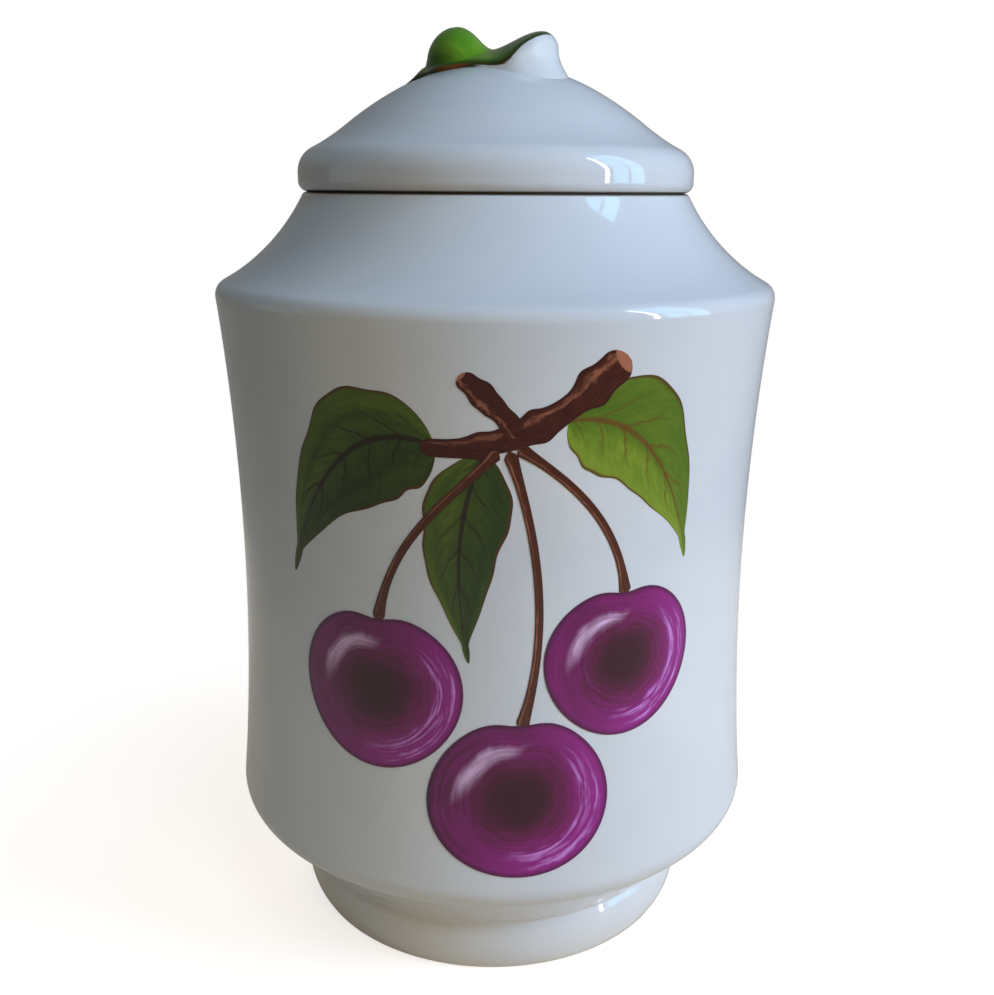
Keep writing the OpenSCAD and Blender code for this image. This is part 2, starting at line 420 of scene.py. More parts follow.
def new_group(
    name: str, inputs: dict[str, str], outputs: tuple[str, ...]
) -> tuple[Sketch, list[Value], Node]:
    """Shader group with named sockets, which puts out numbers.

    Args:
        name: Name of the group.
        inputs: Socket type by input name.
        outputs: Names of the outputs.

    Returns:
        A sketch on the group's tree, its inputs in order and its output node.
    """
    tree = bpy.data.node_groups.new(name, "ShaderNodeTree")
    for label, kind in inputs.items():
        tree.interface.new_socket(label, in_out="INPUT", socket_type="NodeSocket" + kind)
    for label in outputs:
        tree.interface.new_socket(label, in_out="OUTPUT", socket_type="NodeSocketFloat")
    sketch, given = Sketch(tree), tree.nodes.new("NodeGroupInput")
    return sketch, [sketch.out(given, label) for label in inputs], tree.nodes.new("NodeGroupOutput")


@dataclass(frozen=True)
class GlazeFlaws:
    """Group of what a fired glaze shows: clouds of tint, pinholes and a faint ripple."""

    cloud_scale: float = 28.0
    cloud: Span = (0.35, 0.7)
    speck_scale: float = 210.0
    speck: Span = (0.09, 0.05)
    rare_scale: float = 90.0
    rare: Span = (0.66, 0.74)
    ripple_scale: float = 45.0

    def make(self) -> None:
        """Builds the group, which turns a place into two masks and a height."""
        sketch, (place,), made = new_group(FLAWS, {"Place": "Vector"}, ("Cloud", "Pinhole", "Ripple"))
        cloud = sketch.noise(place, self.cloud_scale, detail=3).rise(self.cloud)
        speck = sketch.out(sketch.add("TexVoronoi", None, Vector=place, Scale=self.speck_scale))
        pinhole = speck.rise(self.speck) * sketch.noise(place, self.rare_scale, detail=1).rise(self.rare)
        ripple = sketch.noise(place, self.ripple_scale)
        sketch.fill(made, Cloud=cloud, Pinhole=pinhole, Ripple=ripple)


@dataclass(frozen=True)
class BrushStrokes:
    """Group of what a brush leaves: streaks along its stroke, a slow change of depth and a wobble."""

    fineness: float = 9.0
    streak_scale: float = 3.2
    streak: Span = (0.32, 0.72)
    depth_seed: float = 5.0
    depth_scale: float = 1.9
    depth: Span = (0.3, 0.7)
    wobble_seed: float = 11.0
    wobble_rate: float = 2.0
    wobble_scale: float = 2.4
    wobble_middle: float = 0.5

    def make(self) -> None:
        """Builds the group, which turns places along and across a stroke into two masks and a shift."""
        numbers = dict.fromkeys(("Along", "Across", "Seed"), "Float")
        sketch, (along, across, seed), made = new_group(STROKES, numbers, ("Streak", "Depth", "Wobble"))
        fine = sketch.vector(along, across * self.fineness, seed)
        slow = sketch.vector(along, across, seed + self.depth_seed)
        wave = sketch.vector(along * self.wobble_rate, across, seed + self.wobble_seed)
        streak = sketch.noise(fine, self.streak_scale, detail=3).rise(self.streak)
        depth = sketch.noise(slow, self.depth_scale).rise(self.depth)
        wobble = sketch.noise(wave, self.wobble_scale) - self.wobble_middle
        sketch.fill(made, Streak=streak, Depth=depth, Wobble=wobble)


@dataclass(frozen=True)
class Finish:
    """What every glazed finish shares: a glossy coat over a painted or plain body.

    A Span is where a mask starts and where it is full. A share says how much of a colour shows
    where its mask is full.
    """

    name: str
    roughness: float = 0.04
    dull: Span = (0.8, 1.3)
    ior: float = 1.5
    ripple: float = 0.02
    ripple_h: float = 2 * MM
    pit: float = 0.25

    def body(self, sketch: GlazeSketch) -> Value:
        """Colour under the coat, which each finish has of its own."""
        raise NotImplementedError

    def make(self) -> Material:
        """Builds the material: the finish's own colour under a coat that ripples a little.

        Returns:
            The new material.
        """
        material = new_material(self.name)
        sketch = GlazeSketch(material.node_tree)
        height = sketch.ripple - sketch.pinhole * self.pit
        bump = sketch.add("Bump", None, Strength=self.ripple, Distance=self.ripple_h, Height=height)
        least, most = (self.roughness * share for share in self.dull)
        rough = sketch.add("MapRange", None, Value=sketch.cloud, To_Min=least, To_Max=most)
        coat = sketch.add("BsdfPrincipled", None, Base_Color=self.body(sketch), IOR=self.ior)
        sketch.close("OutputMaterial", sketch.fill(coat, Roughness=rough, Normal=bump))
        return material


@dataclass(frozen=True)
class WhiteGlaze(Finish):
    """White glaze, a little bluer where it pools, bare where the pot stands, shaded where its lid rests.

    The seat is the height where lid and jar meet. There the bare clay is darkened with painted
    shade, a dark band that stands for the shadow in the seam.
    """

    white: Colour = srgb(226, 229, 230)
    cloud: Colour = srgb(218, 223, 227)
    pinhole: Colour = srgb(186, 180, 172)
    pinhole_share: float = 0.5
    clay: Colour = srgb(205, 190, 166)
    bare: Span = (0.45 * MM, 0.135 * MM)
    # Bare clay at the seat, darkened as painted shade for the shadow in the seam between lid and jar.
    seam_shade_clay: Colour = srgb(112, 104, 94)
    seat: float = 0.0
    seat_half: Span = (0.4 * MM, 0.16 * MM)

    def body(self, sketch: GlazeSketch) -> Value:
        """White with its clouds and pinholes, then the bare clay, darkened by painted seam shade at the
        seat.

        Args:
            sketch: Nodes of the material.

        Returns:
            The colour under the coat.
        """
        height = sketch.parts(sketch.place())[2]
        return sketch.coats(
            self.white,
            (sketch.cloud, self.cloud),
            (sketch.pinhole * self.pinhole_share, self.pinhole),
            (height.rise(self.bare), self.clay),
            # Painted seam shade: darkened clay in a band round the seat, where lid and jar meet.
            (height.near(self.seat, self.seat_half), self.seam_shade_clay),
        )


@dataclass(frozen=True)
class LeafKnobGlaze(Finish):
    """Green over the leaf's upper side, a dark line along its margin, white on its raised side.

    The paint coordinates are: spread, from the middle past the margin, along the leaf, and tall,
    the height of the margin.
    """

    ior: float = 1.3
    green: Colour = srgb(80, 144, 32)
    light: Colour = srgb(122, 170, 46)
    deep: Colour = srgb(38, 60, 10)
    edge: Colour = srgb(64, 58, 18)
    brown: Colour = srgb(122, 66, 34)
    white: Colour = WhiteGlaze.white
    seed: float = 2.0
    streak_share: float = 0.2
    blade: Span = (-0.15, 0.15)
    blade_share: float = 0.6
    tall_margin: Span = (0.25, 0.8)
    drawn_in: float = 0.5
    wander: float = 0.1
    margin: float = 0.96
    band: Span = (-0.4, -0.05)
    low_margin: Span = (0.3, 0.15)
    low_spread: Span = (0.15, 0.85)
    band_share: float = 0.9
    lobe_start: Span = (-0.8, -0.6)
    lobe_end: Span = (-0.25, -0.5)
    line: Span = (-0.12, -0.03)
    line_fades: Span = (0.95, 0.5)
    raised_tall: Span = (0.16, 0.26)
    raised_along: Span = (-0.3, -0.15)
    raised_start: Span = (-0.62, -0.5)
    brown_share: float = 0.7
    side: Span = (0.03, 0.12)

    def body(self, sketch: GlazeSketch) -> Value:
        """Green blade, the band and line along its margin, then its side.

        Args:
            sketch: Nodes of the material.

        Returns:
            The colour under the coat.
        """
        spread, along, tall = sketch.brush()
        streak, depth, wobble = sketch.group(STROKES, Along=along, Across=spread, Seed=self.seed)
        inside = spread + tall.rise(self.tall_margin) * self.drawn_in
        past = inside + (wobble * self.wander - self.margin)
        low = spread.rise(self.low_spread) * tall.rise(self.low_margin)
        beside_lobe = along.rise(self.lobe_start) * along.rise(self.lobe_end)
        line = past.rise(self.line) * tall.rise(self.line_fades)
        raised = tall.rise(self.raised_tall) | along.rise(self.raised_along)
        low_side = sketch.mix(beside_lobe * self.brown_share, self.deep, self.brown)
        return sketch.coats(
            self.green,
            (depth, self.light),
            (streak * self.streak_share, self.deep),
            (along.rise(self.blade) * self.blade_share, self.deep),
            ((past.rise(self.band) | low) * self.band_share, self.deep),
            (line, sketch.mix(beside_lobe, self.edge, self.brown)),
            (past.rise(self.side), sketch.mix(raised * along.rise(self.raised_start), low_side, self.white)),
        )


class LeafTone(Enum):
    """Colours of the painted leaves: middle, light and deep green, and the veins."""

    OLIVE = (srgb(62, 84, 20), srgb(92, 112, 26), srgb(34, 52, 16), srgb(44, 26, 14))
    LIME = (srgb(104, 136, 30), srgb(138, 160, 48), srgb(68, 98, 20), srgb(112, 74, 28))


@dataclass(frozen=True)
class PaintedLeaf(Finish):
    """Brushed green with darker veins and a thin brown margin.

    The paint coordinates are: along the midrib from 0 to 1, across it from -1 to 1, and a seed.
    """

    tone: LeafTone = LeafTone.OLIVE
    brown: Colour = srgb(92, 50, 26)
    stroke_l: float = 1.2
    streak_share: float = 0.35
    dark_side: Span = (0.5, -0.4)
    light_side: Span = (0.45, 0.95)
    side_share: float = 0.6
    vein_pairs: float = 6.0
    vein_slant: float = 1.5
    vein_gap_half: float = 0.5
    vein_half: float = 0.1
    vein_taper: float = 0.07
    vein_edge: Span = (1.0, 0.3)
    vein_reach: Span = (0.8, 0.3)
    vein_share: float = 0.6
    wander: float = 0.06
    rib_half: float = 0.1
    rib_taper: float = 0.06
    rib_edge: Span = (1.0, 0.4)
    rib_share: float = 0.85
    margin: Span = (0.92, 0.97)
    margin_wander: float = 0.12
    margin_share: float = 0.8

    def body(self, sketch: GlazeSketch) -> Value:
        """Green with a dark and a light side, veins, rib and margin.

        Args:
            sketch: Nodes of the material.

        Returns:
            The colour under the coat.
        """
        middle, light, deep, vein_colour = self.tone.value
        along, across, seed = sketch.brush()
        aside = abs(across)
        slanted = along - aside * (self.vein_slant / self.vein_pairs)
        stroke = aside * self.stroke_l
        streak, depth, wobble = sketch.group(STROKES, Along=stroke, Across=slanted, Seed=seed)
        wander = wobble * self.wander
        off_vein = ((slanted + wander) * self.vein_pairs).math("PINGPONG", self.vein_gap_half)
        vein = (off_vein / (self.vein_half - aside * self.vein_taper)).rise(self.vein_edge)
        rib = (abs(across + wander) / (self.rib_half - along * self.rib_taper)).rise(self.rib_edge)
        edge = (aside + wobble * self.margin_wander).rise(self.margin)
        return sketch.coats(
            middle,
            (depth, light),
            (streak * self.streak_share, deep),
            (across.rise(self.dark_side) * self.side_share, deep),
            (across.rise(self.light_side) * self.side_share, light),
            (vein * aside.rise(self.vein_reach) * self.vein_share, vein_colour),
            (rib * self.rib_share, vein_colour),
            (edge * self.margin_share, self.brown),
        )


@dataclass(frozen=True)
class PaintedFruit(Finish):
    """Cherry blended from a dark heart to a magenta ring, with lilac arcs, a shine and a deep rim.

    The paint coordinates are: right and up from the middle, with the rim at 1, and a seed.
    An arc has its distance from the middle, its half width and where it starts on the lit side.
    """

    heart: Colour = srgb(58, 4, 26)
    full: Colour = srgb(106, 8, 68)
    ring: Colour = srgb(150, 24, 130)
    lilac: Colour = srgb(206, 132, 214)
    shine: Colour = srgb(236, 200, 238)
    rim: Colour = srgb(62, 4, 46)
    off_middle: float = 0.04
    stroke_l: float = 0.5
    dab_seed: float = 3.0
    wander: float = 0.14
    lit_way: Point = (0.8, -0.4)
    lit: Span = (-0.45, 0.5)
    unlit: Span = (0.5, -0.5)
    flesh: Span = (0.15, 0.66)
    ring_span: Span = (0.5, 0.82)
    ring_least: float = 0.3
    outer: Span = (0.3, 0.6)
    unlit_share: float = 0.5
    streak_share: float = 0.45
    arcs: tuple[tuple[float, float, float], ...] = ((0.74, 0.09, 0.1), (0.88, 0.05, 0.3))
    arc_core: float = 0.1
    arc_run: float = 0.4
    arc_streak: Span = (0.1, 0.8)
    shine_way: Point = (-0.69, 0.72)
    shine_start: Span = (0.4, 0.62)
    shine_at: float = 0.62
    shine_half: Span = (0.14, 0.01)
    shine_least: float = 0.45
    shine_streak: float = 0.5
    rim_span: Span = (0.93, 0.99)
    rim_share: float = 0.7

    def body(self, sketch: GlazeSketch) -> Value:
        """Heart, flesh and ring, then arcs, shine and rim.

        Args:
            sketch: Nodes of the material.

        Returns:
            The colour under the coat.
        """
        right, up, seed = sketch.brush()
        far = sketch.length(sketch.vector(right, up, 0.0))
        stroke = abs(up.math("ARCTAN2", right - self.off_middle)) * self.stroke_l
        streak = sketch.group(STROKES, Along=stroke, Across=far, Seed=seed)[0]
        _, dab, wobble = sketch.group(STROKES, Along=right, Across=up, Seed=seed + self.dab_seed)
        out = far + wobble * self.wander
        lean = right * self.lit_way[0] + up * self.lit_way[1]
        lit = lean.rise(self.lit) * (1 - self.ring_least) + self.ring_least
        outer = out.rise(self.outer)
        arcs = []
        for where, half, start in self.arcs:
            arc = out.near(where, (half, self.arc_core * half)) * lean.rise((start, start + self.arc_run))
            arcs.append((arc * streak.rise(self.arc_streak), self.lilac))
        upper_left = right * self.shine_way[0] + up * self.shine_way[1]
        sweep = out.near(self.shine_at, self.shine_half) * upper_left.rise(self.shine_start)
        return sketch.coats(
            self.heart,
            (out.rise(self.flesh), self.full),
            (out.rise(self.ring_span) * lit, self.ring),
            (dab * lean.rise(self.unlit) * outer * self.unlit_share, self.heart),
            (streak * outer * self.streak_share, self.ring),
            *arcs,
            (sweep * (streak * self.shine_streak + self.shine_least), self.shine),
            (far.rise(self.rim_span) * self.rim_share, self.rim),
        )


@dataclass(frozen=True)
class PaintedBark(Finish):
    """Brown strokes along a twig or stalk, lighter along one side, pale where the twig is cut.

    The paint coordinates are: along it from 0 to 1, across it from -1 to 1, and a seed.
    """

    dark: Colour = srgb(56, 18, 12)
    middle: Colour = srgb(98, 42, 26)
    light: Colour = srgb(178, 112, 82)
    stroke_l: float = 4.0
    streak_share: float = 0.8
    wander: float = 0.7
    stripe_at: float = 0.5
    stripe_half: Span = (0.3, 0.05)
    stripe_share: float = 0.75
    edge: Span = (0.8, 0.98)
    edge_share: float = 0.7
    cut_end: float = 0.0
    cut_bow: float = 0.4
    cut_core: float = 0.85

    def body(self, sketch: GlazeSketch) -> Value:
        """Streaked brown, a light stripe, dark edges and the cut.

        Args:
            sketch: Nodes of the material.

        Returns:
            The colour under the coat.
        """
        along, across, seed = sketch.brush()
        stroke = along * self.stroke_l
        streak, depth, wobble = sketch.group(STROKES, Along=stroke, Across=across, Seed=seed)
        stripe = (across + wobble * self.wander).near(self.stripe_at, self.stripe_half)
        coats = [
            (streak * self.streak_share, self.middle),
            (stripe * depth * self.stripe_share, self.light),
            (abs(across).rise(self.edge) * self.edge_share, self.dark),
        ]
        if self.cut_end:
            face = along + across * across * (self.cut_bow * self.cut_end)
            coats.append((face.rise((self.cut_end, self.cut_core * self.cut_end)), self.light))
        return sketch.coats(self.dark, *coats)


@dataclass
class Jar:
    """The pot: foot, belly, waisted wall, hollow shoulder and rim, in one turned outline.

    A rounding takes the place of the first or last few points of the arcs that it joins.
    """

    foot_r: float = 33.5
    foot_flare: float = 1.3
    foot_h: float = 8.0
    foot_round: float = 2.2
    crease_draw: float = 0.7
    crease_rise: float = 1.3
    crease_round: float = 0.5
    foot_bulge: float = 0.9
    foot_edge: float = 0.9
    foot_ring_w: float = 5.0
    foot_recess: float = 2.6
    hip_r: float = 46.2
    hip_h: float = 21.5
    hip_round: float = 4.7
    waist_draw: float = 2.4
    crest_r: float = 46.4
    crest_h: float = 110.4
    crest_round: float = 2.5
    shoulder_draw: float = 1.7
    rim_h: float = 125.1
    rim_r: float = 31.5
    rim_round: float = 0.9
    mouth_r: float = 26.8
    mouth_land: float = 2.6
    wall: float = 4.0
    floor_t: float = 4.6
    inner_round: float = 6.0
    foot_steps: int = 16
    wall_steps: int = 48
    shoulder_steps: int = 30
    round_steps: int = 20
    inner_steps: int = 40
    neck_steps: int = 24
    sides: int = 256

    @property
    def crease(self) -> np.ndarray:
        """The crease between foot and belly, radius and height in millimetres."""
        return np.array([self.foot_r + self.foot_flare - self.crease_draw, self.foot_h + self.crease_rise])

    def outside(self) -> np.ndarray:
        """Outline from the resting ring up to the rim.

        Returns:
            Radius and height in millimetres.
        """
        rest, ankle = (self.foot_r, 0), (self.foot_r + self.foot_flare, self.foot_h)
        hip, crest, rim = (self.hip_r, self.hip_h), (self.crest_r, self.crest_h), (self.rim_r, self.rim_h)
        foot = bow(rest, ankle, self.foot_bulge, self.foot_steps)
        wall = bow(hip, crest, -self.waist_draw, self.wall_steps)
        shoulder = bow(crest, rim, -self.shoulder_draw, self.shoulder_steps)
        return np.concatenate([
            rounded((self.foot_r - self.foot_ring_w, 0), rest, foot[2], self.foot_edge),
            foot[3:-2],
            rounded(foot[-3], ankle, self.crease, self.foot_round),
            rounded(ankle, self.crease, hip, self.crease_round),
            rounded(self.crease, hip, wall[3], self.hip_round, self.round_steps),
            wall[4:-3],
            rounded(wall[-4], crest, shoulder[4], self.crest_round, self.round_steps),
            shoulder[5:-2],
            rounded(shoulder[-3], rim, (self.mouth_r, self.rim_h), self.rim_round),
        ])

    def inside(self) -> np.ndarray:
        """Outline from the mouth down to the middle of the floor.

        Returns:
            Radius and height in millimetres.
        """
        mouth, land = (self.mouth_r, self.rim_h), (self.mouth_r, self.rim_h - self.mouth_land)
        floor_z = self.foot_recess + self.floor_t
        turn = math.atan2(self.crest_r - self.rim_r, self.rim_h - self.crest_h)
        crest = (self.crest_r - self.wall, self.crest_h - self.wall * math.tan(turn / 2))
        along = np.array([self.hip_r, self.hip_h]) - self.crease
        along /= np.hypot(*along)
        start = self.crease + self.wall * np.array([-along[1], along[0]])
        hip = start + along * (self.hip_r - self.wall - start[0]) / along[0]
        toe = start + along * (floor_z - start[1]) / along[1]
        neck = bow(land, crest, self.shoulder_draw, self.neck_steps)
        wall = bow(crest, hip, self.waist_draw, self.inner_steps)
        return np.concatenate([
            rounded((self.rim_r, self.rim_h), mouth, land, self.rim_round),
            neck[:-1],
            wall[:-6],
            rounded(wall[-7], hip, toe, self.inner_round),
            rounded(hip, toe, (0, floor_z), self.inner_round),
            [(0.0, floor_z)],
        ])

    def build(self) -> Piece:
        """Turns the whole outline, starting under the foot.

        Returns:
            The new piece.
        """
        ring_r = self.foot_r - self.foot_ring_w
        under = [(0, self.foot_recess), (ring_r - self.foot_recess, self.foot_recess), (ring_r, 0)]
        return turned("jar_glazed", np.concatenate([under, self.outside(), self.inside()]), self.sides)

    def dress(self, piece: Piece, glaze: Material) -> None:
        """Gives the jar its glaze and its place in the frame.

        Args:
            piece: What build made.
            glaze: Its material.
        """
        piece.data.materials.append(glaze)
        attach(piece, "jar")
        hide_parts("jar")


@dataclass
class Lid:
    """The lid: rounded rim, ogee slope and crown, hollow below, with its locating flange.

    The corner's rounding takes the place of the first points of the ogee.
    """

    jar: Jar
    rim_r: float = 32.3
    band_h: float = 5.6
    corner_round: float = 4.3
    edge_round: float = 1.6
    ogee_r: float = 23.9
    ogee_h: float = 10.8
    ogee_draw: float = 0.3
    crown_r: float = 16.0
    crown_h: float = 15.9
    slope_bulge: float = 0.2
    crown_rise: float = 4.0
    wall: float = 4.0
    hollow_h: float = 6.4
    flange_l: float = 5.0
    flange_t: float = 3.0
    flange_round: float = 0.7
    play: float = 0.6
    edge_steps: int = 16
    corner_steps: int = 24
    ogee_steps: int = 24
    slope_steps: int = 16
    crown_steps: int = 32
    hollow_steps: int = 24
    sides: int = 256

    @property
    def seat(self) -> float:
        """Height of the face that rests on the jar's rim."""
        return self.jar.rim_h

    @property
    def top(self) -> float:
        """Height of the crown's middle."""
        return self.seat + self.crown_h + self.crown_rise

    def crown_z(self, radius: np.ndarray) -> np.ndarray:
        """Height of the crown's ball at a distance from the axis."""
        ball = (self.crown_r**2 + self.crown_rise**2) / (2 * self.crown_rise)
        return self.top - ball + np.sqrt(ball**2 - radius**2)

    def cap(self, edge: Point, top: float, steps: int) -> np.ndarray:
        """Arc from a cap's edge to its top on the axis, where it is level.

        Args:
            edge: Radius and height of the edge.
            top: Height at the axis.
            steps: Number of stretches.

        Returns:
            Points on the arc.
        """
        radius, height = edge[0], top - edge[1]
        chord = radius**2 + height**2
        ball = chord / (2 * height)
        return bow(edge, (0, top), ball - math.sqrt(ball**2 - chord / 4), steps)

    def build(self) -> Piece:
        """Turns the outline from the hollow's ceiling round the flange and rim to the crown.

        Returns:
            The new piece.
        """
        flange_r = self.jar.mouth_r - self.play
        hollow_r, foot = flange_r - self.flange_t, self.seat - self.flange_l
        inner, outer, land = (hollow_r, foot), (flange_r, foot), (flange_r, self.seat)
        rim, corner = (self.rim_r, self.seat), (self.rim_r, self.seat + self.band_h)
        ogee, crown = (self.ogee_r, self.seat + self.ogee_h), (self.crown_r, self.seat + self.crown_h)
        lower = bow(corner, ogee, -self.ogee_draw, self.ogee_steps)
        eaves = (hollow_r, self.seat + self.hollow_h)
        outline = np.concatenate([
            self.cap(eaves, self.top - self.wall, self.hollow_steps)[::-1],
            rounded((hollow_r, self.seat), inner, outer, self.flange_round),
            rounded(inner, outer, land, self.flange_round),
            [land],
            rounded(land, rim, corner, self.edge_round, self.edge_steps),
            rounded(rim, corner, lower[9], self.corner_round, self.corner_steps),
            lower[10:],
            bow(ogee, crown, self.slope_bulge, self.slope_steps)[1:],
            self.cap(crown, self.top, self.crown_steps)[1:],
        ])
        return turned("lid_glazed", outline, self.sides)

    def dress(self, piece: Piece, glaze: Material) -> None:
        """Gives the lid its glaze and its place in the frame.

        Args:
            piece: What build made.
            glaze: Its material.
        """
        piece.data.materials.append(glaze)
        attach(piece, "lid")
        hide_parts("lid")


@dataclass
class LeafKnob:
    """A leaf with a rolled lobe at its stalk end and a raised tip, solid down to the lid."""

    lid: Lid
    shift: float = 3.0
    tip_l: float = 12.9
    back_l: float = 8.6
    tip_half_w: float = 12.0
    back_half_w: float = 7.7
    widen_shift: float = 6.0
    widen_l: float = 10.0
    oval: float = 0.75
    stalk_l: float = 3.1
    stalk_turn: float = 13.0
    stalk_rise: float = 0.8
    stalk_w: float = 2.0
    stalk_thin: float = 0.6
    margin_low: float = 0.7
    margin_high: float = 5.6
    rise_shift: float = 1.5
    rise_l: float = 9.5
    crown: float = 1.3
    crown_l: float = 4.0
    lobe_h: float = 5.5
    lobe_back: float = 5.0
    lobe_run: float = 7.2
    lobe_half_w: float = 6.4
    lobe_shift: float = 6.2
    lobe_ease: float = 1.1
    lobe_blend: float = 1.6
    margin_round: float = 2.0
    skirt_tip: float = 1.4
    skirt_side: float = 4.6
    bond: float = 0.6
    sides: int = 240
    top_rings: int = 72
    side_rings: int = 28

    def half_w(self, x: np.ndarray) -> np.ndarray:
        """Half width of the leaf along it: narrow beside the lobe, eased to wide at the tip."""
        wider = self.tip_half_w - self.back_half_w
        return self.back_half_w + wider * ease((x + self.widen_shift) / self.widen_l)

    def margin(self, angle: np.ndarray) -> np.ndarray:
        """Plan of the leaf: a squarish oval, wider at its tip, with a pointed stalk.

        Args:
            angle: Angles in degrees, with the stalk at 180.

        Returns:
            Plan points in millimetres, shape (n, 2).
        """
        cos, sin = np.cos(np.radians(angle)), np.sin(np.radians(angle))
        x = np.where(cos > 0, self.tip_l, self.back_l) * np.sign(cos) * np.abs(cos) ** self.oval - self.shift
        y = self.half_w(x) * np.sign(sin) * np.abs(sin) ** self.oval
        return np.stack([x - self.stalk_l * np.exp(-(((angle - 180) / self.stalk_turn) ** 2)), y], -1)

    def rise(self, plan: np.ndarray) -> np.ndarray:
        """Height of the leaf above the lid.

        It rises from a low margin and crowned middle to its tip. Half of an ellipsoid, drawn out
        towards the tip, makes the rolled lobe. The larger of the two counts, with the crease
        between them blended.

        Args:
            plan: Plan points in millimetres, shape (..., 2).

        Returns:
            Heights in millimetres.
        """
        x, y = plan[..., 0], plan[..., 1]
        lift = ease((x + self.rise_shift) / self.rise_l)
        across = np.maximum(1 - (y / self.half_w(x)) ** 2, 0)
        along = x + self.shift + self.back_l
        ridge = self.stalk_rise * np.exp(-((y / self.stalk_w) ** 2) - (2 * along / self.stalk_l) ** 2)
        edge = self.margin_low * (1 - self.stalk_thin * ease(-along / self.stalk_l))
        middle = self.crown * across * ease(along / self.crown_l)
        leaf = (edge + middle) * (1 - lift) + self.margin_high * lift + ridge
        u = (x + self.lobe_shift) / np.where(x > -self.lobe_shift, self.lobe_run, self.lobe_back)
        v = y / self.lobe_half_w
        ball = 1 - u**2 - v**2
        soft = np.where(u > 0, self.lobe_ease * u**2 / np.maximum(u**2 + v**2, TINY), 0)
        lobe = self.lid.top + self.lobe_h * np.sign(ball) * np.abs(ball) ** (0.5 + soft)
        lobe = lobe - self.lid.crown_z(np.hypot(x, y))
        blend = np.maximum(self.lobe_blend - np.abs(leaf - lobe), 0) / self.lobe_blend
        return np.maximum(leaf, lobe) + blend**2 * self.lobe_blend / 4

    def build(self) -> Piece:
        """Stacks rings over the leaf, down its side and under the lid's surface.

        Returns:
            The new piece.
        """
        angle = np.linspace(0, 360, self.sides, endpoint=False)
        plan = self.margin(angle)
        heart = np.array([-self.shift, 0.0])
        share = np.sin(np.linspace(0, math.pi / 2, self.top_rings + 1)[1:])[:, None]
        top = heart * (1 - share[..., None]) + plan * share[..., None]
        height = self.rise(top)
        into = np.maximum(self.margin_round - np.linalg.norm(plan - top, axis=-1), 0) / self.margin_round
        drop = np.minimum(self.margin_round, height / 2) * (1 - np.sqrt(1 - into**2))
        top_z = self.lid.crown_z(np.hypot(top[..., 0], top[..., 1])) + height - drop
        down = np.linspace(0, 1, self.side_rings + 1)[1:, None]
        tall = self.rise(plan) / self.margin_high
        out = (plan - heart) / np.linalg.norm(plan - heart, axis=1)[:, None]
        skirt = self.skirt_tip + (self.skirt_side - self.skirt_tip) * np.abs(out[:, 1])
        side = plan + out * (skirt * tall * down**2)[..., None]
        foot_z = self.lid.crown_z(np.hypot(side[..., 0], side[..., 1])) - self.bond
        side_z = (1 - down) * top_z[-1] + down * foot_z
        rings = np.concatenate([np.dstack([top, top_z]), np.dstack([side, side_z])])
        flat = np.concatenate([into, 1 + down + 0 * angle])
        brush = np.dstack([flat, rings[..., 0] / self.tip_l, tall + 0 * flat])
        apex = self.lid.crown_z(np.array(self.shift)) + self.rise(heart)
        under = self.lid.crown_z(np.array(self.shift)) - 2 * self.bond
        poles = np.array([[*heart, apex], [*heart, under]])
        return ring_solid("leaf_knob_glazed", rings * MM, poles * MM, brush)

    def dress(self, piece: Piece, glaze: Material) -> None:
        """Gives the knob its colours and its place in the frame.

        Args:
            piece: What build made.
            glaze: Its material.
        """
        piece.data.materials.append(glaze)
        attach(piece, "lid")
        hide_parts("leaf_knob")


class Layer(Enum):
    """Heights of the painted shapes above the wall in millimetres, so that each covers the last."""

    LEAF = 0.04
    TWIG = 0.07
    STALK = 0.09
    FRUIT = 0.11


class Paint(Enum):
    """The painter's mixes that the shapes of the sprig take."""

    OLIVE = PaintedLeaf("olive_leaf_paint", tone=LeafTone.OLIVE)
    LIME = PaintedLeaf("lime_leaf_paint", tone=LeafTone.LIME)
    FRUIT = PaintedFruit("cherry_paint")
    BARK = PaintedBark("twig_paint", cut_end=0.05)
    STALK = PaintedBark("stalk_paint", middle=srgb(118, 60, 30))


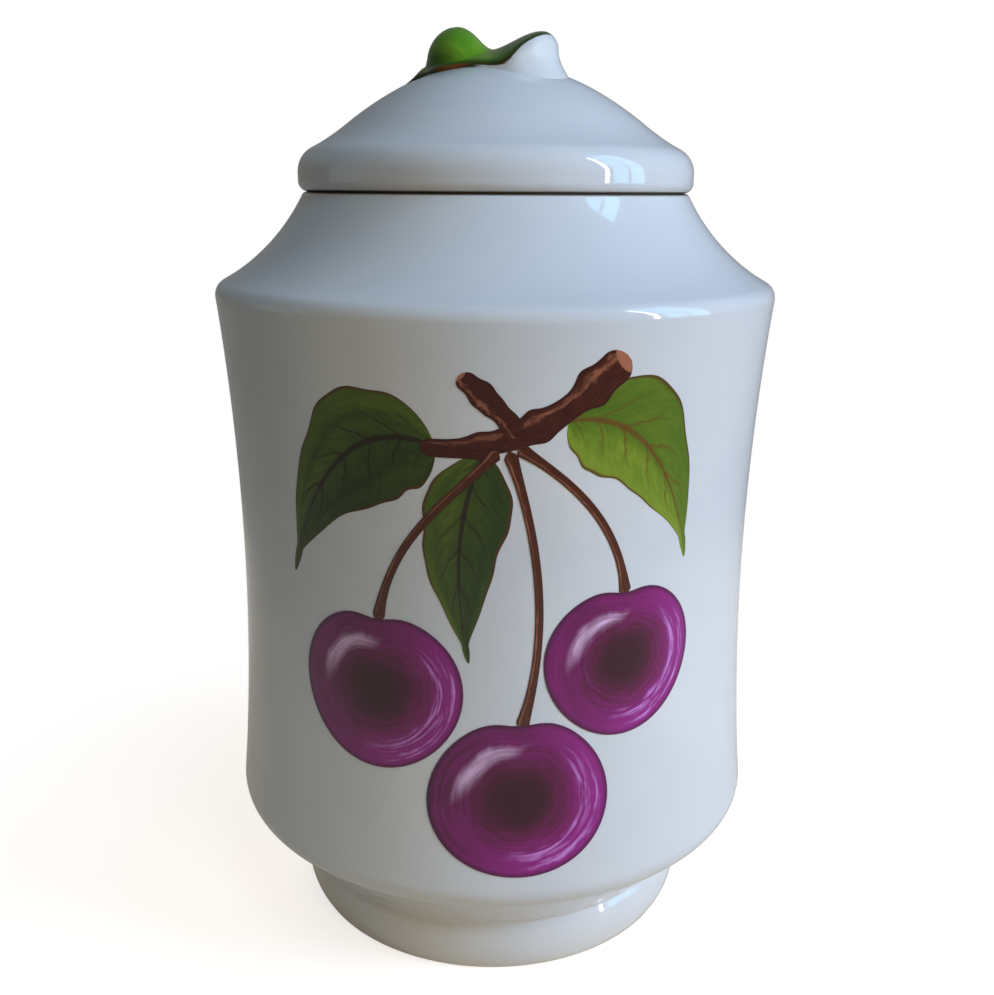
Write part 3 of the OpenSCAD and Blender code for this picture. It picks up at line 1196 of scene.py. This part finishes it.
@dataclass
class PaintedSprig:
    """Three cherries with leaves on a twig, painted on the front of the wall.

    Each painted shape is a thin closed skin that lies on the wall: its flat drawing, in
    millimetres across and up, is wrapped round the pot by the angle across / girth_r.
    """

    jar: Jar
    girth_r: float = 44.0
    sink: float = 0.12
    leaf_steps: int = 144
    leaf_across: int = 25
    leaf_calm: float = 0.5
    blade_l: float = 0.93
    blade_ends: Span = (0.002, 0.998)
    blade_skew: float = 0.72
    blade_full: float = 0.8
    blade_right: float = 0.9
    tip_half: float = 0.085
    tip_start: float = 0.7
    tip_run: float = 0.2
    tip_end: float = 0.05
    tip_least: float = 0.01
    leaf_waves: tuple[Span, Span] = ((13.0, 29.9), (16.0, 36.8))
    leaf_wave_depths: Span = (0.05, 0.02)
    fruit_sides: int = 144
    fruit_rings: int = 40
    dent: float = 0.1
    dent_turn: float = 0.3
    fruit_oval: float = 0.03
    fruit_skew: float = 0.015
    twig_steps: int = 160
    twig_across: int = 13
    twig_least: float = 0.02
    knot: float = 0.35
    knot_l: float = 1.6
    twig_waves: Span = (13.0, 29.0)
    twig_wave_depths: Span = (0.06, 0.03)
    twig_lean: Span = (11.0, 0.0)
    twig_lean_depths: Span = (0.12, 0.0)
    stalk_steps: int = 80
    stalk_across: int = 9
    stalk_flare: float = 0.9
    stalk_flare_power: float = 6.0
    stalk_end: float = 0.02
    stalk_least: float = 0.15

    def on_wall(self, flat: np.ndarray, lift: float) -> np.ndarray:
        """Wraps a flat drawing round the wall.

        Args:
            flat: Points across and up in metres, shape (..., 2).
            lift: Height above the wall in millimetres.

        Returns:
            Points in the frame, shape (..., 3).
        """
        outline = self.jar.outside()
        wall = outline[(outline[:, 1] > self.jar.hip_h) & (outline[:, 1] < self.jar.crest_h)] * MM
        across, up = flat[..., 0] / (self.girth_r * MM), flat[..., 1]
        radius = np.interp(up, wall[:, 1], wall[:, 0]) + lift * MM
        return np.stack([radius * np.sin(across), -radius * np.cos(across), up], -1)

    def ribbon(
        self, name: str, path: np.ndarray, half: np.ndarray, layer: Layer, seed: float, across: int,
        calm: float = 0.0,
    ) -> Piece:
        """Stroke of changing width: a flat strip carried along a path.

        A point lies at path + v half n, where n is square to the path and v runs from -1 to 1.

        Args:
            name: Name of the piece.
            path: Points on the flat drawing in metres, shape (n, 2).
            half: Half width to the left and right of the path in millimetres, shape (n, 2).
            layer: Its height above the wall.
            seed: Number that makes its brush marks its own.
            across: Points across the stroke.
            calm: Share of the way from end to end in n, so that a broad stroke doesn't fold in a bend.

        Returns:
            The new piece.
        """
        way = np.gradient(path, axis=0)
        way /= np.linalg.norm(way, axis=1)[:, None]
        chord = (path[-1] - path[0]) / np.linalg.norm(path[-1] - path[0])
        way = (1 - calm) * way + calm * chord
        way /= np.linalg.norm(way, axis=1)[:, None]
        square = np.stack([way[:, 1], -way[:, 0]], -1)
        v = np.linspace(-1, 1, across)
        width = np.where(v[None, :] < 0, half[:, :1], half[:, 1:]) * MM * v
        flat = path[:, None] + width[..., None] * square[:, None]
        front, back = self.on_wall(flat, layer.value), self.on_wall(flat[:, ::-1], -self.sink)
        along = np.linspace(0, 1, len(path))[:, None]
        sides = np.concatenate([v, v[::-1]])[None, :]
        brush = np.dstack([along + 0 * sides, sides + 0 * along, seed + 0 * along + 0 * sides])
        poles = self.on_wall(path[[0, -1]], 0)
        return ring_solid(name, np.concatenate([front, back], 1), poles, brush)

    def leaf(self, name: str, rib: list[Point], width: float, seed: float) -> Piece:
        """Leaf along a midrib, broad near its stalk, with a narrow tip and a waved margin.

        The half width is width sin(pi s^blade_skew)^blade_full with s = t / blade_l, and each side
        has its own waves. A narrow tip of even width runs on from there.

        Args:
            name: Name of the piece.
            rib: Four points of the midrib.
            width: Largest half width in millimetres.
            seed: Number for its waves and brush marks.

        Returns:
            The new piece.
        """
        t = np.linspace(0, 1, self.leaf_steps + 1)
        blade = np.sin(math.pi * np.clip(t / self.blade_l, *self.blade_ends) ** self.blade_skew)
        point = np.sqrt(np.clip((1 - t) / self.tip_end, self.tip_least, 1))
        tip = self.tip_half * ease((t - self.tip_start) / self.tip_run) * point
        shape = np.hypot(blade**self.blade_full, tip)
        left, right = (waved(t, rates, self.leaf_wave_depths, seed) for rates in self.leaf_waves)
        half = width * np.stack([shape * left, shape * right * self.blade_right], -1)
        path = bezier(rib, self.leaf_steps)
        return self.ribbon(name, path, half, Layer.LEAF, seed, self.leaf_across, self.leaf_calm)

    def fruit(self, name: str, middle: Point, radius: float, seed: float) -> Piece:
        """Cherry seen from the side: a round with a dent where the stalk goes in.

        Its reach at the angle a is 1 + oval cos 2a + skew sin(3a + seed), less the dent at the top.

        Args:
            name: Name of the piece.
            middle: Its middle on the flat drawing in millimetres.
            radius: Its radius in millimetres.
            seed: Number for its brush marks.

        Returns:
            The new piece.
        """
        angle = np.linspace(0, 2 * math.pi, self.fruit_sides, endpoint=False)
        dent = self.dent * np.exp(-(((angle - math.pi / 2) / self.dent_turn) ** 2))
        reach = 1 + self.fruit_oval * np.cos(2 * angle) + self.fruit_skew * np.sin(3 * angle + seed) - dent
        unit = np.stack([np.cos(angle), np.sin(angle)], -1)
        share = np.linspace(0, 1, self.fruit_rings + 1)[1:]
        disc = share[:, None, None] * (reach[:, None] * unit)
        heart = np.array([middle]) * MM
        flat = heart + radius * MM * disc
        front, back = self.on_wall(flat, Layer.FRUIT.value), self.on_wall(flat[::-1], -self.sink)
        paint = share[:, None, None] * np.broadcast_to(unit, disc.shape)
        paint = np.concatenate([paint, paint[::-1]])
        brush = np.dstack([paint, np.full(paint.shape[:2], seed)])
        poles = [self.on_wall(heart, Layer.FRUIT.value), self.on_wall(heart, -self.sink)]
        return ring_solid(name, np.concatenate([front, back]), np.concatenate(poles), brush)

    def twig(
        self, name: str, path: list[Point], thick: Span, knots: tuple[float, ...], seed: float
    ) -> Piece:
        """Tapered twig with swellings and round ends.

        Args:
            name: Name of the piece.
            path: Four points of its line.
            thick: Half width at its start and end in millimetres.
            knots: Places of the swellings, from 0 at the start to 1.
            seed: Number for its brush marks.

        Returns:
            The new piece.
        """
        t = np.linspace(0, 1, self.twig_steps + 1)
        line = bezier(path, self.twig_steps)
        length = np.linalg.norm(np.diff(line, axis=0), axis=1).sum() / MM
        taper = thick[0] + (thick[1] - thick[0]) * t
        swell = np.exp(-(((t[:, None] - np.array(knots)) * length / self.knot_l) ** 2)).sum(1)
        from_end = np.minimum(t * length / thick[0], (1 - t) * length / thick[1])
        tips = np.sqrt(1 - (1 - np.clip(from_end, self.twig_least, 1)) ** 2)
        uneven = waved(t, self.twig_waves, self.twig_wave_depths, seed)
        half = taper * tips * (uneven + self.knot * swell)
        lean = waved(t, self.twig_lean, self.twig_lean_depths, seed)
        return self.ribbon(name, line, np.stack([half, half * lean], -1), Layer.TWIG, seed, self.twig_across)

    def stalk(self, name: str, path: list[Point], thick: float, seed: float) -> Piece:
        """Slim stalk, a little thicker at both ends.

        Args:
            name: Name of the piece.
            path: Four points of its line.
            thick: Half width in millimetres.
            seed: Number for its brush marks.

        Returns:
            The new piece.
        """
        t = np.linspace(0, 1, self.stalk_steps + 1)
        flare = 1 + self.stalk_flare * np.abs(2 * t - 1) ** self.stalk_flare_power
        half = thick * flare * np.clip(np.minimum(t, 1 - t) / self.stalk_end, self.stalk_least, 1)
        line = bezier(path, self.stalk_steps)
        return self.ribbon(name, line, np.stack([half, half], -1), Layer.STALK, seed, self.stalk_across)

    def build(self) -> dict[Paint, list[Piece]]:
        """Paints the whole sprig, each shape with its place, its size and its seed.

        Returns:
            The pieces by the paint that they take.
        """
        olive = [
            self.leaf("leaf_left", [(-8, 92), (-17, 96), (-27, 89), (-33, 70)], 9.0, 1.3),
            self.leaf("leaf_middle", [(-1.5, 91), (-5, 83), (-6, 73), (-3.5, 60)], 6.4, 4.1),
        ]
        lime = [self.leaf("leaf_right", [(10, 95.5), (18, 97), (27, 90), (31, 73)], 8.2, 2.6)]
        fruit = [
            self.fruit("cherry_left", (-17.5, 54.5), 12.8, 0.4),
            self.fruit("cherry_low", (4.0, 38.5), 13.2, 3.3),
            self.fruit("cherry_right", (20.0, 59.0), 12.2, 6.2),
        ]
        bark = [
            self.twig("twig", [(18, 104), (9, 97), (4, 91), (-10, 92)], (2.4, 1.3), (0.2, 0.5, 0.78), 0.9),
            self.twig("twig_spur", [(-4.5, 102), (-2, 99.5), (1.5, 97), (3, 93.5)], (1.3, 1.6), (0.3,), 2.2),
        ]
        stalks = [
            self.stalk("stalk_left", [(0.5, 91.5), (-5, 85), (-15, 79), (-17.2, 65.1)], 0.6, 1.1),
            self.stalk("stalk_low", [(2.0, 91.5), (6, 80), (9, 65), (4.1, 49.5)], 0.6, 2.7),
            self.stalk("stalk_right", [(3.2, 92.0), (11, 87), (18.5, 80), (19.9, 69.1)], 0.6, 3.9),
        ]
        return dict(zip(Paint, (olive, lime, fruit, bark, stalks)))

    def dress(self, pieces: list[Piece], paint: Material) -> None:
        """Gives painted pieces their colour and lets them move with the jar.

        Args:
            pieces: Pieces of one colour.
            paint: Their material.
        """
        for piece in pieces:
            piece.data.materials.append(paint)
            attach(piece, "jar")


def way(azimuth: float, elevation: float = 0.0) -> Vector:
    """Direction that leaves the pot, in degrees to the right of its front and above level."""
    turn, lift = math.radians(azimuth), math.radians(elevation)
    return Vector((math.sin(turn) * math.cos(lift), -math.cos(turn) * math.cos(lift), math.sin(lift)))


@dataclass(frozen=True)
class SoftBox:
    """Rectangular lamp at a distance from the middle of the pot, faced towards it.

    It either lights the pot evenly or is only mirrored in the glaze. Its power is in watts of
    red, green and blue.
    """

    name: str
    azimuth: float
    elevation: float
    size: tuple[float, float]
    power: Colour
    mirrored: bool = False
    distance: float = 1.0

    def build(self, middle: Vector) -> None:
        """Places the lamp."""
        away = way(self.azimuth, self.elevation)
        self.place(middle + away * self.distance, -away)

    def place(self, where: Vector, facing: Vector) -> None:
        """Adds a lamp with this size and power.

        Args:
            where: Its place in metres.
            facing: Direction of its light.
        """
        data = bpy.data.lights.new(self.name, "AREA")
        data.shape = "RECTANGLE"
        data.size, data.size_y = self.size
        data.energy = max(self.power)
        data.color = [p / data.energy for p in self.power]
        lamp = bpy.data.objects.new(self.name, data)
        lamp.location = where
        lamp.rotation_mode = "QUATERNION"
        lamp.rotation_quaternion = facing.to_track_quat("-Z", "Y")
        lamp.visible_camera = False
        lamp.visible_glossy = self.mirrored
        lamp.visible_diffuse = not self.mirrored
        bpy.context.scene.collection.objects.link(lamp)


@dataclass(frozen=True)
class PanedWindow(SoftBox):
    """Upright window of equal panes with bars between them; size and power are those of one pane."""

    columns: int = 2
    rows: int = 3
    bar: float = 0.026
    sill: float = 0.04

    def build(self, middle: Vector) -> None:
        """Places the panes in columns and rows above the sill.

        Args:
            middle: Middle of the pot, which the panes don't follow: they stand upright.
        """
        across = way(self.azimuth + 90)
        for column in range(self.columns):
            for row in range(self.rows):
                aside = (column - (self.columns - 1) / 2) * (self.size[0] + self.bar)
                height = self.sill + (row + 0.5) * (self.size[1] + self.bar)
                where = way(self.azimuth) * self.distance + across * aside + Vector((0, 0, height))
                self.place(where, -way(self.azimuth))


@dataclass
class Studio:
    """Floor, soft lamps and the camera at the photograph's angle."""

    distance: float = 189.6 * MM
    camera_h: float = 125.9 * MM
    pitch: float = 15.74
    roll: float = 0.36
    picture_w: int = 994
    picture_h: int = 995
    focal_px: float = 1100.0
    axis_px: float = 493.75
    sensor: float = 36.0
    near_clip: float = 0.01
    floor_t: float = 0.01
    floor_rings: tuple[float, ...] = (0.02, 0.1, 0.5, 3.0)
    floor_sides: int = 64
    pale: Colour = (0.72, 0.6, 0.47)
    pale_to: Span = (0.16, 0.3)
    floor_glow: float = 0.72
    white_from: Span = (0.05, 0.13)
    ambient: Colour = (0.04, 0.038, 0.035)
    reflected: float = 0.15
    lamps: tuple[SoftBox, ...] = (
        PanedWindow("window", 78, 0, (0.155, 0.33), (0.26, 0.64, 0.9), True, 0.85),
        SoftBox("strip", 63, 21, (0.05, 0.92), (2.3, 2.3, 2.25), True),
        SoftBox("left_wall", -92, 2, (0.45, 0.4), (0.16, 0.17, 0.19), True),
        SoftBox("right", 70, 25, (0.35, 0.45), (4.5, 5.9, 8.2)),
        SoftBox("front_high", 30, 50, (0.35, 0.45), (1.1, 1.8, 2.6)),
        SoftBox("front", 40, 6, (0.35, 0.45), (2.9, 1.95, 0.8)),
        SoftBox("left_high", -60, 45, (0.9, 0.7), (0.64, 0.64, 0.52)),
        SoftBox("left", -95, 4, (0.9, 0.7), (0.62, 0.56, 0.44)),
        SoftBox("back", 180, 8, (0.9, 0.5), (7.5, 7.3, 7.0)),
    )

    def camera(self) -> None:
        """Camera in front of the pot, looking down on it, with the photograph's focal length."""
        data = bpy.data.cameras.new("camera")
        data.sensor_width = self.sensor
        data.lens = self.sensor * self.focal_px / self.picture_h
        data.shift_x = (self.picture_w / 2 - self.axis_px) / self.picture_h
        data.clip_start = self.near_clip
        camera = bpy.data.objects.new("camera", data)
        camera.location = (0, -self.distance, self.camera_h)
        camera.rotation_mode = "QUATERNION"
        look = Quaternion((1, 0, 0), math.radians(90 - self.pitch))
        camera.rotation_quaternion = look @ Quaternion((0, 0, 1), math.radians(self.roll))
        bpy.context.scene.collection.objects.link(camera)
        bpy.context.scene.camera = camera

    def floor(self) -> None:
        """Pale floor as a wide round sheet under the foot, which pales to white away from it."""
        rings = np.array(self.floor_rings)[:, None]
        angle = np.linspace(0, 2 * math.pi, self.floor_sides, endpoint=False)
        top = np.stack([rings * np.cos(angle), rings * np.sin(angle), 0 * rings * angle], -1)
        low = top[::-1] - (0, 0, self.floor_t)
        poles = np.array([[0, 0, 0], [0, 0, -self.floor_t]])
        piece = ring_solid("floor", np.concatenate([top, low]), poles)
        piece.data.materials.append(self.floor_paint())

    def floor_paint(self) -> Material:
        """Material of the floor.

        Near the pot it takes light and shade and glows a little for the camera. Further off, the
        camera sees plain white and the light finds nothing to bounce from.

        Returns:
            The new material.
        """
        material = new_material("pale_floor")
        sketch = Sketch(material.node_tree)
        away = sketch.length(sketch.place())
        shade = sketch.add("BsdfDiffuse", None, Color=sketch.mix(away.rise(self.pale_to), self.pale, BLACK))
        seen = self.seen(sketch)
        glow = sketch.add("Emission", None, Color=WHITE, Strength=seen * self.floor_glow)
        near = sketch.add("AddShader", None, shade, glow)
        white = sketch.add("Emission", None, Color=WHITE, Strength=1.0)
        far = away.rise(self.white_from) * seen
        sketch.close("OutputMaterial", sketch.add("MixShader", None, far, near, white))
        return material

    def seen(self, sketch: Sketch) -> Value:
        """Share of the white background that a ray sees.

        It is all for the camera and through glass, part of it in a reflection, none for light.

        Args:
            sketch: Nodes of the floor or the world.

        Returns:
            The share from 0 to 1.
        """
        path = sketch.add("LightPath")
        straight = sketch.out(path, "Is Camera Ray") | sketch.out(path, "Is Transmission Ray")
        return straight | sketch.out(path, "Is Glossy Ray") * self.reflected

    def world(self) -> None:
        """White behind the pot for the camera, a dim even light for everything else."""
        world = bpy.data.worlds.new("studio")
        bpy.context.scene.world = world
        world.use_nodes = True
        world.node_tree.nodes.clear()
        sketch = Sketch(world.node_tree)
        colour = sketch.mix(self.seen(sketch), self.ambient, WHITE)
        sketch.close("OutputWorld", sketch.add("Background", None, Color=colour))

    def build(self) -> None:
        """Sets up the whole studio."""
        bpy.context.scene.view_settings.view_transform = "Standard"
        self.camera()
        self.floor()
        self.world()
        middle = Vector((0, 0, (CAD_LOW.z + CAD_HIGH.z) / 2))
        for lamp in self.lamps:
            lamp.build(middle)


def corners(low: Vector, high: Vector) -> list[list[float]]:
    """A box as two plain lists."""
    return [[float(v) for v in low], [float(v) for v in high]]


def main() -> None:
    """Builds the pot's pieces in order, dresses them and sets up the studio."""
    logging.basicConfig(level=logging.INFO, format="%(name)s: %(message)s")
    GlazeFlaws().make()
    BrushStrokes().make()
    jar = Jar()
    lid = Lid(jar)
    knob = LeafKnob(lid)
    sprig = PaintedSprig(jar)
    white = WhiteGlaze("white_glaze", seat=jar.rim_h * MM).make()
    green = LeafKnobGlaze("leaf_knob_glaze").make()
    for part, finish in ((jar, white), (lid, white), (knob, green)):
        piece = part.build()
        part.dress(piece, finish)
        log.info("%s: %d faces", piece.name, len(piece.data.polygons))
    for paint, pieces in sprig.build().items():
        sprig.dress(pieces, paint.value.make())
        log.info("%s: %s", paint.value.name, ", ".join(p.name for p in pieces))
    Studio().build()


if __name__ == "__main__":
    main()
